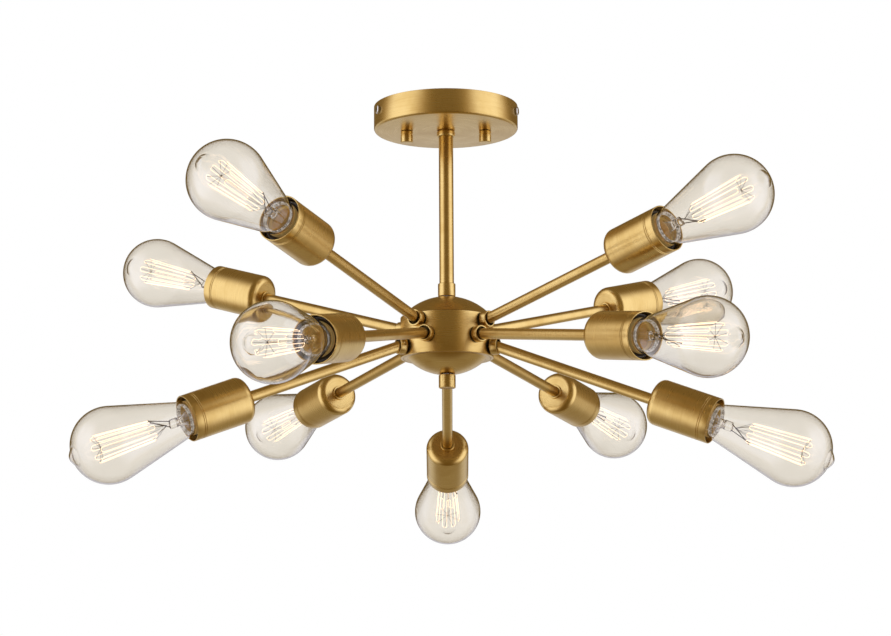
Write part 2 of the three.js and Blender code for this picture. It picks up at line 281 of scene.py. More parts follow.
class Tree:
    """A node tree that is being filled."""

    def __init__(self, nodes, links):
        self.nodes = nodes
        self.links = links

    def node(self, kind, settings=None, sockets=None, output=0):
        made = self.nodes.new(kind)
        for setting, value in (settings or {}).items():
            setattr(made, setting, value)
        for socket, value in (sockets or {}).items():
            self.plug(made.inputs[socket], value)
        return Wire(self, made.outputs[output])

    def plug(self, socket, value):
        if isinstance(value, Wire):
            self.links.new(value.socket, socket)
        else:
            socket.default_value = value

    def blend(self, factor, first, second):
        """The first colour where factor is 0, and the second where it is 1."""
        return self.node("ShaderNodeMix", {"data_type": "RGBA"}, {0: factor, 6: first, 7: second}, 2)

    def noise(self, vector, scale, detail=2.0, roughness=0.5):
        return self.node(
            "ShaderNodeTexNoise",
            None,
            {"Vector": vector, "Scale": scale, "Detail": detail, "Roughness": roughness},
        )

    def place(self):
        """The point's place in the frame."""
        return self.node("ShaderNodeTexCoord", None, None, 3)

    def own_place(self):
        """The point's place on its piece's own axis."""
        return self.node("ShaderNodeAttribute", {"attribute_name": OWN_PLACE}, None, 1)

    def parts(self, vector):
        return [self.node("ShaderNodeSeparateXYZ", None, {0: vector}, axis) for axis in range(3)]

    def vector(self, x, y, z):
        return self.node("ShaderNodeCombineXYZ", None, {0: x, 1: y, 2: z})


class Finish(Tree):
    """A material with one principled surface."""

    def __init__(self, name, **constants):
        self.material = bpy.data.materials.new(name)
        self.material.use_nodes = True
        tree = self.material.node_tree
        super().__init__(tree.nodes, tree.links)
        self.surface = tree.nodes["Principled BSDF"]
        for socket, value in constants.items():
            self.surface.inputs[socket.replace("_", " ")].default_value = value

    def feed(self, **sockets):
        for socket, value in sockets.items():
            self.plug(self.surface.inputs[socket.replace("_", " ")], value)

    def bump(self, height, distance, strength=1.0):
        sockets = {"Height": height, "Distance": distance, "Strength": strength}
        self.feed(Normal=self.node("ShaderNodeBump", None, sockets))


def rgba(colour, gain=1.0):
    return (*(channel * gain for channel in colour), 1.0)


GRAIN_DRIFT = 0.03  # how fast a line of the grain changes along its own run, as a share of across it


def ring_grain(finish, spacing):
    """Fine lines round a turned piece's axis, on its walls and its faces alike."""
    x, y, z = finish.parts(finish.own_place())
    radial = (x * x + y * y) ** 0.5
    across = 1.0 / spacing
    drift = GRAIN_DRIFT * across
    lines = finish.vector(radial * across + x * drift, z * across + y * drift, y * drift)
    return finish.noise(lines, scale=1.0, detail=3.0, roughness=0.65)


# ---- Finishes --------------------------------------------------------------------------------------------

# colours of a painted glow on the lamp caps, standing in for the light of the lamps inside them
CAP_PAINTED_GLOW = (0.3, 0.2, 0.065)
RUBBED_CAP_PAINTED_GLOW = (0.8, 0.62, 0.34)
BRIGHT_SOLDER = (0.6, 0.6, 0.58)
DULL_SOLDER = (0.32, 0.32, 0.31)
# painted shade and painted highlight of the crinkled seal's folds
CREASE_PAINTED_SHADE = (0.3, 0.27, 0.23)
CREASE_PAINTED_HIGHLIGHT = (0.93, 0.92, 0.9)
WARM_TUNGSTEN = (0.3, 0.2, 0.1)
DARK_TUNGSTEN = (0.15, 0.1, 0.06)
HOTTEST = (1.0, 0.8, 0.55)
WARM_SUPPORT = (0.2, 0.13, 0.07)
DARK_SUPPORT = (0.09, 0.06, 0.035)
LIGHT_FLOOR = (0.9, 0.9, 0.89)
SHADED_FLOOR = (0.86, 0.86, 0.85)

SEAT_DEPTH = 0.0022  # of the tube's seat in a collar
RECESS_BLUR = 0.0002  # width of a recess's soft border
# how dark the painted shade in a collar's recesses is, as a share of the aged brass
RECESS_SHADE = 0.12


def collar_recess_painted_shade(finish):
    """1 in the two narrow recesses of an arm's collar, at its foot and round the tube's seat, where shade is
    painted into the brass.
    """
    sizes = bpy.context.scene.chandelier_arms
    x, y, z = finish.parts(finish.own_place())
    radial = (x * x + y * y) ** 0.5
    seat = sizes.tube_radius + sizes.seat_gap
    floor = sizes.collar_length - SEAT_DEPTH
    foot = z.within(-0.0006, -0.0003, sizes.collar_foot, sizes.collar_foot + RECESS_BLUR)
    past_seat = radial.above(seat, seat + RECESS_BLUR)
    seat_painted_shade = z.above(floor - 0.0004, floor - 0.0001) * (1.0 - past_seat)
    return (foot + seat_painted_shade).clamped()


def brushed_brass(name, spacing=0.0009, collars=False):
    colours = bpy.context.scene.chandelier_colours
    finish = Finish(name, Metallic=1.0)
    grain = ring_grain(finish, spacing)
    cloud = finish.noise(finish.place(), scale=38.0, detail=3.0, roughness=0.6)
    patches = cloud.above(0.42, 0.75) * 0.45
    streaks = grain.above(0.45, 0.75) * 0.3
    specks = finish.noise(finish.place(), scale=900.0, detail=1.0).above(0.66, 0.8) * 0.12
    aged = (patches + streaks + specks).clamped()
    tone = finish.blend(aged, rgba(colours.brass), rgba(colours.aged_brass))
    # on the arms, a painted shade darkens the brass in the collar's recesses, where shade falls
    if collars:
        tone = finish.blend(collar_recess_painted_shade(finish), tone, rgba(colours.aged_brass, RECESS_SHADE))
    finish.feed(Base_Color=tone)
    finish.feed(Roughness=grain * 0.12 + cloud * 0.08 + (colours.brass_roughness - 0.1))
    finish.bump(grain, distance=0.00002, strength=0.22)
    return finish.material


def zinc_steel(name):
    colours = bpy.context.scene.chandelier_colours
    finish = Finish(name, Metallic=1.0)
    spangle = finish.node("ShaderNodeTexVoronoi", None, {"Vector": finish.place(), "Scale": 420.0}, 1)
    flakes = finish.parts(spangle)[0]
    cloud = finish.noise(finish.place(), scale=90.0, detail=3.0)
    dull = (flakes * 0.5 + cloud * 0.5).clamped()
    finish.feed(Base_Color=finish.blend(dull, rgba(colours.steel), rgba(colours.steel, 0.72)))
    finish.feed(Roughness=dull * 0.2 + 0.28)
    finish.bump(cloud, distance=0.00003, strength=0.4)
    return finish.material


def nickel_plate(name):
    colours = bpy.context.scene.chandelier_colours
    finish = Finish(name, Metallic=1.0)
    grain = ring_grain(finish, spacing=0.0004)
    cloud = finish.noise(finish.place(), scale=260.0)
    finish.feed(Base_Color=finish.blend(cloud, rgba(colours.nickel), rgba(colours.nickel, 0.8)))
    finish.feed(Roughness=grain * 0.12 + 0.12)
    finish.bump(grain, distance=0.00001, strength=0.3)
    return finish.material


def lamp_cap_metal(name, lit=0.0):
    """Thin cap brass, with a painted glow that stands in for the light of the burning lamp inside it, brighter on
    rubbed spots.
    """
    colours = bpy.context.scene.chandelier_colours
    finish = Finish(name, Metallic=0.75, Emission_Strength=lit)
    cloud = finish.noise(finish.place(), scale=180.0, detail=3.0)
    rub_and_painted_glow = finish.noise(finish.own_place(), scale=1400.0).above(0.5, 0.75)
    dull = (cloud * 0.7 + rub_and_painted_glow * 0.3).clamped()
    finish.feed(Base_Color=finish.blend(dull, rgba(colours.brass, 1.2), rgba(colours.aged_brass, 1.1)))
    # the emission is a painted glow, and the rubbed spots glow brighter
    finish.feed(Emission_Color=finish.blend(rub_and_painted_glow, rgba(CAP_PAINTED_GLOW), rgba(RUBBED_CAP_PAINTED_GLOW)))
    finish.feed(Roughness=dull * 0.2 + 0.3)
    finish.bump(rub_and_painted_glow, distance=0.00001, strength=0.4)
    return finish.material


def solder(name):
    finish = Finish(name, Metallic=1.0)
    cloud = finish.noise(finish.place(), scale=700.0, detail=3.0)
    finish.feed(Base_Color=finish.blend(cloud, rgba(BRIGHT_SOLDER), rgba(DULL_SOLDER)))
    finish.feed(Roughness=cloud * 0.25 + 0.25)
    finish.bump(cloud, distance=0.00015, strength=0.6)
    return finish.material


def bakelite(name):
    colours = bpy.context.scene.chandelier_colours
    finish = Finish(name)
    flow = finish.noise(finish.own_place(), scale=240.0, detail=4.0, roughness=0.6)
    pores = finish.noise(finish.own_place(), scale=2600.0, detail=1.0)
    finish.feed(Base_Color=finish.blend(flow, rgba(colours.bakelite), rgba(colours.bakelite, 2.2)))
    finish.feed(Roughness=flow * 0.2 + 0.25)
    finish.bump(pores, distance=0.00002, strength=0.3)
    return finish.material


def tinted_glass(name, strength=1.0, rim=0.5):
    """Lamp glass, with a faintly uneven tint that deepens where the wall is seen edge on."""
    colours = bpy.context.scene.chandelier_colours
    finish = Finish(name, Transmission_Weight=1.0, IOR=1.45, Roughness=0.0)
    facing = finish.node("ShaderNodeLayerWeight", None, {"Blend": 0.5}, 1)
    edge = facing.above(0.74, 0.94)
    swirl = finish.noise(finish.own_place(), scale=45.0)
    body = tuple(1 - (1 - channel) * strength for channel in colours.glass)
    thin = finish.blend(swirl, rgba(body), rgba(body, 0.96))
    finish.feed(Base_Color=finish.blend(edge, thin, rgba(body, rim)))
    return finish.material


def crinkled_glass(name):
    """Whitish glass, melted and creased where the neck is sealed, with a painted glow and painted shade and
    highlights in its folds.
    """
    finish = Finish(name, IOR=1.5, Emission_Strength=0.42)
    creases = finish.noise(finish.own_place(), scale=520.0, detail=3.0, roughness=0.6)
    folds_and_painted_light = creases.above(0.35, 0.65)
    # the folds' tone is painted shade and highlight, and it also glows as a painted glow
    tone = finish.blend(folds_and_painted_light, rgba(CREASE_PAINTED_SHADE), rgba(CREASE_PAINTED_HIGHLIGHT))
    finish.feed(Base_Color=tone, Emission_Color=tone)
    finish.feed(Roughness=folds_and_painted_light * 0.15 + 0.12)
    finish.bump(creases, distance=0.0004, strength=0.9)
    return finish.material


def glowing_wire(name):
    """Hot tungsten wire, unevenly hot along its run."""
    colours = bpy.context.scene.chandelier_colours
    finish = Finish(name, Roughness=0.5, Emission_Strength=2.6)
    heat = finish.noise(finish.own_place(), scale=160.0)
    coils = finish.noise(finish.own_place(), scale=2200.0, detail=1.0)
    finish.feed(Base_Color=finish.blend(coils, rgba(WARM_TUNGSTEN), rgba(DARK_TUNGSTEN)))
    finish.feed(Emission_Color=finish.blend(heat, rgba(colours.glow), rgba(HOTTEST)))
    finish.bump(coils, distance=0.00004, strength=0.5)
    finish.material.cycles.emission_sampling = "NONE"
    return finish.material


def support_wire(name):
    finish = Finish(name, Metallic=1.0)
    cloud = finish.noise(finish.own_place(), scale=600.0)
    finish.feed(Base_Color=finish.blend(cloud, rgba(WARM_SUPPORT), rgba(DARK_SUPPORT)))
    finish.feed(Roughness=cloud * 0.2 + 0.35)
    return finish.material


def pale_floor(name):
    finish = Finish(name, Roughness=0.8, Emission_Strength=0.45)
    cloud = finish.noise(finish.place(), scale=1.5, detail=4.0)
    tone = finish.blend(cloud, rgba(LIGHT_FLOOR), rgba(SHADED_FLOOR))
    finish.feed(Base_Color=tone, Emission_Color=tone)
    return finish.material


def finish_called(name, maker, **options):
    """A finish is made once and shared."""
    if name in [material["slot"] for material in frame["record"]["materials"]]:
        raise ValueError(f"{name} is already the name of a material slot")
    return bpy.data.materials.get(name) or maker(name, **options)


def wall_brass():
    return finish_called("brushed_brass", brushed_brass)


def tube_brass():
    return finish_called("brushed_tube_brass", brushed_brass, spacing=0.0006)


def arm_brass():
    return finish_called("brushed_arm_brass", brushed_brass, spacing=0.0006, collars=True)


# ---- Mesh helpers ----------------------------------------------------------------------------------------


class Outline:
    """Half of a turned piece's section: corners as (radius, height), which are spun round its axis."""

    def __init__(self, radius, height):
        self.mesh = bmesh.new()
        self.start = self.mesh.verts.new((radius, 0, height))
        self.end = self.start
        self.rounded = []

    def to(self, radius, height, rounding=0.0, segments=4, rings=0):
        """Goes on to a corner, which may be rounded; rings splits the side on the way to it."""
        target = Vector((radius, 0, height))
        run = bmesh.ops.spin(
            self.mesh,
            geom=[self.end],
            cent=(0, 0, 0),
            axis=(0, -1, 0),
            dvec=(target - self.end.co) / (rings + 1),
            angle=0,
            steps=rings + 1,
            use_duplicate=False,
        )
        self.end = run["geom_last"][0]
        self.end.co = target
        if rounding:
            self.rounded.append((self.end, rounding, segments))
        return self

    def sweep(self, radius, height, angle, steps):
        """Goes on along an arc about a point of the section; positive degrees turn from outwards to up."""
        arc = bmesh.ops.spin(
            self.mesh,
            geom=[self.end],
            cent=(radius, 0, height),
            axis=(0, -1, 0),
            angle=math.radians(angle),
            steps=steps,
            use_duplicate=False,
        )
        self.end = arc["geom_last"][0]
        return self

    def close(self):
        self.mesh.edges.new((self.end, self.start))
        return self

    def turned(self, steps=64):
        for corner, rounding, segments in self.rounded:
            bmesh.ops.bevel(
                self.mesh,
                geom=[corner],
                offset=rounding,
                segments=segments,
                profile=0.5,
                affect="VERTICES",
                material=-1,
            )
        bmesh.ops.spin(
            self.mesh,
            geom=self.mesh.verts[:] + self.mesh.edges[:],
            cent=(0, 0, 0),
            axis=UP,
            angle=math.tau,
            steps=steps,
            use_merge=True,
            use_duplicate=False,
        )
        return tidy(self.mesh)


def tidy(mesh):
    """Merges doubles and turns the faces outwards."""
    bmesh.ops.remove_doubles(mesh, verts=mesh.verts[:], dist=1e-7)
    bmesh.ops.recalc_face_normals(mesh, faces=mesh.faces[:])
    return mesh


def as_mesh(made, name="part"):
    """The bmesh as mesh data; the bmesh is spent."""
    data = bpy.data.meshes.new(name)
    made.to_mesh(data)
    made.free()
    return data


def remember_place(made):
    """Keeps each vertex's present coordinates for the grain, unless they are kept already."""
    layers = made.verts.layers.float_vector
    if OWN_PLACE in layers:
        return made
    layer = layers.new(OWN_PLACE)
    for vertex in made.verts:
        vertex[layer] = vertex.co
    return made


def placed(made, matrix):
    bmesh.ops.transform(remember_place(made), matrix=matrix, verts=made.verts[:])
    return made


def gathered(*parts):
    """Several bmeshes as one."""
    whole = bmesh.new()
    whole.verts.layers.float_vector.new(OWN_PLACE)
    for part in parts:
        data = as_mesh(remember_place(part))
        whole.from_mesh(data)
        bpy.data.meshes.remove(data)
    return whole


def bored(made, *cutters):
    """The shape with the cutters taken away from it."""
    base = bpy.data.objects.new("base", as_mesh(made))
    bpy.context.scene.collection.objects.link(base)
    tool = bpy.data.objects.new("tool", as_mesh(gathered(*cutters)))
    bpy.context.scene.collection.objects.link(tool)
    boring = base.modifiers.new("boring", "BOOLEAN")
    boring.operation = "DIFFERENCE"
    boring.solver = "EXACT"
    boring.use_self = True
    boring.object = tool
    graph = bpy.context.evaluated_depsgraph_get()
    left = bmesh.new()
    left.from_object(base, graph)
    for spent in (base, tool):
        data = spent.data
        bpy.data.objects.remove(spent)
        bpy.data.meshes.remove(data)
    if OWN_PLACE in left.verts.layers.float_vector:
        left.verts.layers.float_vector.remove(left.verts.layers.float_vector[OWN_PLACE])
    return tidy(left)


def thread_wave(point, pitch):
    """0 on a screw thread's crest and 1 in its root, at a point round the Z axis."""
    turn = math.atan2(point.y, point.x) / math.tau
    return 0.5 + 0.5 * math.cos(math.tau * (point.z / pitch - turn))


def threaded(made, bottom, top, pitch, depth, reach):
    """Sinks a screw thread into the walls farther out than reach, between two heights."""
    for vertex in made.verts:
        radius = math.hypot(vertex.co.x, vertex.co.y)
        if radius > reach and bottom < vertex.co.z < top:
            fade = min(1.0, (vertex.co.z - bottom) / pitch, (top - vertex.co.z) / pitch)
            shrink = 1 - depth * thread_wave(vertex.co, pitch) * fade / radius
            vertex.co.x *= shrink
            vertex.co.y *= shrink
    return made


def rod(radius, start, end, sides=8):
    """A round bar between two points."""
    start, end = Vector(start), Vector(end)
    along = end - start
    turn = UP.rotation_difference(along).to_matrix().to_4x4()
    made = bmesh.new()
    bmesh.ops.create_cone(
        made,
        cap_ends=True,
        segments=sides,
        radius1=radius,
        radius2=radius,
        depth=along.length,
        matrix=Matrix.Translation((start + end) / 2) @ turn,
    )
    return made


def block(size, centre, edge=0.0, turn=0.0):
    """A box with bevelled edges, turned round Z by an angle in radians."""
    made = bmesh.new()
    bmesh.ops.create_cube(made, size=1, matrix=Matrix.Translation(centre) @ Matrix.Diagonal((*size, 1)))
    if edge:
        bmesh.ops.bevel(
            made, geom=made.edges[:], offset=edge, segments=3, profile=0.5, affect="EDGES", material=-1
        )
    bmesh.ops.rotate(made, cent=(0, 0, 0), matrix=Matrix.Rotation(turn, 3, "Z"), verts=made.verts[:])
    return made


def ball(radius, centre, sides=12):
    made = bmesh.new()
    bmesh.ops.create_uvsphere(
        made, u_segments=sides, v_segments=sides // 2, radius=radius, matrix=Matrix.Translation(centre)
    )
    return made


def crook(thickness, start, centre, axis, angle, steps=6, sides=6):
    """A round wire bent about an axis through a centre, from a start point."""
    start, centre, axis = Vector(start), Vector(centre), Vector(axis)
    heading = axis.cross(start - centre).normalized()
    turn = UP.rotation_difference(heading).to_matrix().to_4x4()
    made = bmesh.new()
    ring = bmesh.ops.create_circle(
        made, cap_ends=True, segments=sides, radius=thickness, matrix=Matrix.Translation(start) @ turn
    )
    bmesh.ops.spin(
        made,
        geom=ring["verts"] + made.edges[:] + made.faces[:],
        cent=centre,
        axis=axis,
        angle=math.radians(angle),
        steps=steps,
        use_duplicate=False,
    )
    return tidy(made)


def add_piece(name, made, finish, body, slot, *nodes, crease=32):
    """Makes a bmesh a finished piece that rides on a body and stands for CAD nodes."""
    data = as_mesh(remember_place(made), name)
    data.materials.append(finish)
    data.shade_smooth()
    data.set_sharp_from_angle(angle=math.radians(crease))
    piece = bpy.data.objects.new(name, data)
    bpy.context.scene.collection.objects.link(piece)
    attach(piece, body)
    if nodes:
        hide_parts(*nodes)
    return piece


# ---- Ceiling end -----------------------------------------------------------------------------------------

SCREW_AZIMUTHS = {"left": math.radians(202), "right": math.radians(346)}
SCREW_DEPTH = 0.008  # of a side screw's axis below the ceiling
SCREW_HOLE = 0.002
SHANK_RADIUS = 0.0017
HEAD_RADIUS = 0.004
HEAD_TOP = 0.0022  # of a side screw, outside the canopy's wall
CROSS_LENGTH = 0.0044
CROSS_WIDTH = 0.0009
CROSS_TAPER = 0.55
STUD_RADIUS = 0.002
STUD_HOLE = STUD_RADIUS + GAP
STUD_THREAD = 0.0003  # depth of the thread on a stud
STEM_HOLE = STEM_RADIUS + GAP
NUT_BORE = 0.0083  # depth of a cap nut's bore
PLATE_LENGTH = 0.092
PLATE_WIDTH = 0.02
PLATE_THICKNESS = 0.0025
EAR_WIDTH = 0.013
EAR_START = 0.012  # of an ear, from the stem's axis
EAR_AIR = CANOPY_WALL + 2 * GAP  # the canopy's wall and the air outside an ear


def stud_place(side):
    low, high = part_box(f"plate_stud_{side}")
    return Vector(((low.x + high.x) / 2, 0, 0))


def side_screw_place(side):
    azimuth = SCREW_AZIMUTHS[side]
    out = Vector((math.cos(azimuth), math.sin(azimuth), 0))
    turn = UP.rotation_difference(out).to_matrix().to_4x4()
    return Matrix.Translation(out * CANOPY_RADIUS - UP * SCREW_DEPTH) @ turn


def canopy_shape(sizes):
    inner = CANOPY_RADIUS - sizes.canopy_wall
    inside = sizes.canopy_wall - CANOPY_HEIGHT
    shell = (
        Outline(STEM_HOLE, -CANOPY_HEIGHT)
        .to(CANOPY_RADIUS, -CANOPY_HEIGHT, sizes.canopy_edge, 6)
        .to(CANOPY_RADIUS, 0, sizes.canopy_wall / 3, 2)
        .to(inner, 0)
        .to(inner, inside, sizes.canopy_edge - sizes.canopy_wall / 2, 4)
        .to(STEM_HOLE, inside)
        .close()
        .turned(128)
    )
    drills = [
        rod(STUD_HOLE, stud_place(side) - UP * 2 * CANOPY_HEIGHT, stud_place(side), 24)
        for side in SCREW_AZIMUTHS
    ]
    for side in SCREW_AZIMUTHS:
        drill = rod(SCREW_HOLE, (0, 0, -0.006), (0, 0, 0.006), 24)
        drills.append(placed(drill, side_screw_place(side)))
    return bored(shell, *drills)


def bushing_shape():
    bottom, top, radius = extent("canopy_bushing")
    return (
        Outline(STEM_HOLE, bottom)
        .to(radius, bottom, 0.0013, 5)
        .to(radius, top, 0.0009, 4)
        .to(STEM_HOLE, top)
        .close()
        .turned()
    )


def cap_nut_shape(sizes, node):
    bottom, top, radius = extent(node)
    tall = top - bottom
    groove = -sizes.nut_groove_place
    return (
        Outline(0, -tall)
        .to(radius, -tall, 0.0008, 4)
        .to(radius, groove - sizes.nut_groove)
        .to(radius - sizes.nut_groove, groove)
        .to(radius, groove + sizes.nut_groove)
        .to(radius, 0, FINE_EDGE, 2)
        .to(STUD_HOLE, 0)
        .to(STUD_HOLE, -NUT_BORE)
        .to(0, -NUT_BORE)
        .turned(48)
    )


def side_screw_shape(sizes):
    head = (
        Outline(0, -0.0015)
        .to(SHANK_RADIUS, -0.0015)
        .to(SHANK_RADIUS, GAP)
        .to(HEAD_RADIUS, GAP, 0.0002, 2)
        .to(HEAD_RADIUS, HEAD_TOP, 0.0015, 6)
        .to(0, HEAD_TOP)
        .turned(48)
    )
    floor = HEAD_TOP - sizes.screw_recess
    blades = []
    for size in ((CROSS_LENGTH, CROSS_WIDTH), (CROSS_WIDTH, CROSS_LENGTH)):
        blade = block((*size, 0.004), (0, 0, floor + 0.002))
        low = [vertex for vertex in blade.verts if vertex.co.z < floor + 0.001]
        bmesh.ops.scale(blade, vec=(CROSS_TAPER, CROSS_TAPER, 1), verts=low)
        blades.append(blade)
    return bored(head, *blades)


def plate_shape():
    top = top_of("mounting_plate")
    level = top - PLATE_THICKNESS / 2
    ear_end = math.sqrt((CANOPY_RADIUS - EAR_AIR) ** 2 - (EAR_WIDTH / 2) ** 2)
    ear_size = (ear_end - EAR_START, EAR_WIDTH, PLATE_THICKNESS)
    ear_centre = ((ear_end + EAR_START) / 2, 0, level)
    lip_drop = top - floor_of("mounting_plate")
    lip_size = (PLATE_THICKNESS, EAR_WIDTH, lip_drop)
    lip_centre = (ear_end - PLATE_THICKNESS / 2, 0, top - lip_drop / 2)
    parts = [block((PLATE_LENGTH, PLATE_WIDTH, PLATE_THICKNESS), (0, 0, level), FINE_EDGE)]
    for azimuth in SCREW_AZIMUTHS.values():
        parts.append(block(ear_size, ear_centre, FINE_EDGE, azimuth))
        parts.append(block(lip_size, lip_centre, FINE_EDGE, azimuth))
    below, above = UP * (level - PLATE_THICKNESS), UP * (level + PLATE_THICKNESS)
    holes = [rod(STEM_HOLE, below, above, 40)]
    for side in SCREW_AZIMUTHS:
        holes.append(rod(STUD_HOLE, stud_place(side) + below, stud_place(side) + above, 24))
    return bored(gathered(*parts), *holes)


def stud_shape(sizes, node):
    bottom, top = floor_of(node), top_of(node)
    made = (
        Outline(0, bottom)
        .to(STUD_RADIUS, bottom, 0.0004, 2)
        .to(STUD_RADIUS, top, rings=180)
        .to(0, top)
        .turned(16)
    )
    return threaded(made, bottom, top, sizes.thread_pitch, STUD_THREAD, STUD_RADIUS * 0.8)


class CHANDELIER_OT_canopy(bpy.types.Operator):
    """Build the canopy and the ring where the stem leaves it"""

    bl_idname = "chandelier.canopy"
    bl_label = "Canopy"

    def execute(self, context):
        sizes = context.scene.chandelier_ceiling
        add_piece("canopy_shell", canopy_shape(sizes), wall_brass(), "canopy", "brass", "canopy")
        add_piece("canopy_ring", bushing_shape(), tube_brass(), "canopy", "brass", "canopy_bushing")
        return {"FINISHED"}


class CHANDELIER_OT_fixings(bpy.types.Operator):
    """Build the mounting plate, its studs, the cap nuts and the side screws"""

    bl_idname = "chandelier.fixings"
    bl_label = "Fixings"

    def execute(self, context):
        sizes = context.scene.chandelier_ceiling
        steel = finish_called("zinc_steel", zinc_steel)
        nickel = finish_called("nickel_plate", nickel_plate)
        add_piece("ceiling_plate", plate_shape(), steel, "fixture", "plated_steel", "mounting_plate")
        for side in SCREW_AZIMUTHS:
            stud = f"plate_stud_{side}"
            made = placed(stud_shape(sizes, stud), Matrix.Translation(stud_place(side)))
            add_piece(f"threaded_stud_{side}", made, steel, "fixture", "plated_steel", stud, crease=60)
            nut = f"cap_nut_{side}"
            nut_place = Matrix.Translation(stud_place(side) + UP * top_of(nut))
            made = placed(cap_nut_shape(sizes, nut), nut_place)
            add_piece(f"barrel_nut_{side}", made, tube_brass(), nut, "brass", nut)
            screw = f"canopy_screw_{side}"
            made = placed(side_screw_shape(sizes), side_screw_place(side))
            add_piece(f"pan_screw_{side}", made, nickel, screw, "nickel_screw", screw)
        return {"FINISHED"}


# ---- Stem and hub ----------------------------------------------------------------------------------------

STEM_WALL = 0.0012
STEM_SEAT = 0.006  # depth of the stem's seat in the coupling
TIE_ROD_HOLE = 0.0053
TIE_ROD_SEAT = 0.0053  # depth of the tie rod's bore in the finial
BAND_WALL = 0.0023
SKIRT_LENGTH = 0.002  # of each dome, inside the band
CAP_RISE = 0.00025  # of a dome's crown above its edge round the tie rod


def stem_shape():
    bottom, top = floor_of("stem"), top_of("stem")
    bore = STEM_RADIUS - STEM_WALL
    return (
        Outline(bore, bottom)
        .to(STEM_RADIUS, bottom)
        .to(STEM_RADIUS, top, FINE_EDGE, 2)
        .to(bore, top)
        .close()
        .turned()
    )


def coupling_shape(sizes):
    bottom, top, radius = extent("stem_coupling")
    seat = top - STEM_SEAT
    return (
        Outline(TIE_ROD_HOLE, bottom)
        .to(radius, bottom, sizes.fitting_edge)
        .to(radius, top, sizes.fitting_edge)
        .to(STEM_HOLE, top)
        .to(STEM_HOLE, seat)
        .to(TIE_ROD_HOLE, seat)
        .close()
        .turned()
    )


def finial_shape(sizes):
    bottom, top, radius = extent("bottom_finial")
    bore_end = top - TIE_ROD_SEAT
    return (
        Outline(0, bottom)
        .to(radius, bottom, sizes.fitting_edge)
        .to(radius, top, sizes.fitting_edge)
        .to(TIE_ROD_HOLE, top)
        .to(TIE_ROD_HOLE, bore_end)
        .to(0, bore_end)
        .turned()
    )


def band_shape(sizes):
    inner = HUB_RADIUS - BAND_WALL
    return (
        Outline(inner, -HUB_HALF)
        .to(HUB_RADIUS, -HUB_HALF, sizes.band_edge, 4)
        .to(HUB_RADIUS, HUB_HALF, sizes.band_edge, 4)
        .to(inner, HUB_HALF)
        .close()
        .turned(128)
    )


def dome_shape(sizes, foot, base, height):
    """A dome right way up about the hub's middle: a skirt, a flat rim at foot and a spherical cap."""
    sphere = (base**2 + height**2) / (2 * height)
    centre = foot + height - sphere
    inner = sphere - sizes.sheet
    skirt = HUB_RADIUS - BAND_WALL - GAP
    inside = skirt - sizes.sheet
    under = foot - sizes.sheet
    inner_base = min(inside, math.sqrt(inner**2 - (under - centre) ** 2))

    def angle_at(radius, ball_radius):
        return math.degrees(math.acos(radius / ball_radius))

    def height_at(radius, ball_radius):
        return centre + math.sqrt(ball_radius**2 - radius**2)

    return (
        Outline(inside, HUB_HALF - SKIRT_LENGTH)
        .to(skirt, HUB_HALF - SKIRT_LENGTH)
        .to(skirt, foot)
        .to(base, foot)
        .sweep(0, centre, angle_at(TIE_ROD_HOLE, sphere) - angle_at(base, sphere), 24)
        .to(TIE_ROD_HOLE, height_at(TIE_ROD_HOLE, inner))
        .sweep(0, centre, angle_at(inner_base, inner) - angle_at(TIE_ROD_HOLE, inner), 16)
        .to(inside, under)
        .close()
        .turned(128)
    )


class CHANDELIER_OT_stem(bpy.types.Operator):
    """Build the stem and the coupling that holds it to the hub"""

    bl_idname = "chandelier.stem"
    bl_label = "Stem"

    def execute(self, context):
        sizes = context.scene.chandelier_hub
        add_piece("stem_tube", stem_shape(), tube_brass(), "fixture", "brass", "stem")
        add_piece("coupling", coupling_shape(sizes), tube_brass(), "fixture", "brass", "stem_coupling")
        return {"FINISHED"}


class CHANDELIER_OT_hub(bpy.types.Operator):
    """Build the hub's band, its two domes and the finial, and finish its tie rod"""

    bl_idname = "chandelier.hub"
    bl_label = "Hub"

    def execute(self, context):
        sizes = context.scene.chandelier_hub
        middle = Matrix.Translation(UP * HUB_MIDDLE)
        band = placed(band_shape(sizes), middle)
        add_piece("band", band, wall_brass(), "fixture", "brass", "hub_band")
        rise = top_of("hub_top_dome") - HUB_MIDDLE + CAP_RISE
        foot = HUB_HALF + GAP
        upper = placed(dome_shape(sizes, foot, HUB_RADIUS - sizes.ledge, rise - foot), middle)
        add_piece("top_dome", upper, wall_brass(), "fixture", "brass", "hub_top_dome")
        fall = HUB_MIDDLE - floor_of("hub_bottom_dome") + CAP_RISE
        lower = dome_shape(sizes, HUB_HALF, sizes.lower_dome_radius, fall - HUB_HALF)
        lower = placed(lower, middle @ Matrix.Rotation(math.pi, 4, "X"))
        add_piece("bottom_dome", lower, wall_brass(), "fixture", "brass", "hub_bottom_dome")
        add_piece("finial", finial_shape(sizes), tube_brass(), "fixture", "brass", "bottom_finial")
        tie_rod = frame["nodes"]["hub_tie_rod"]
        tie_rod.data.materials.clear()
        tie_rod.data.materials.append(finish_called("zinc_steel", zinc_steel))
        return {"FINISHED"}


# ---- Arms and sockets ------------------------------------------------------------------------------------

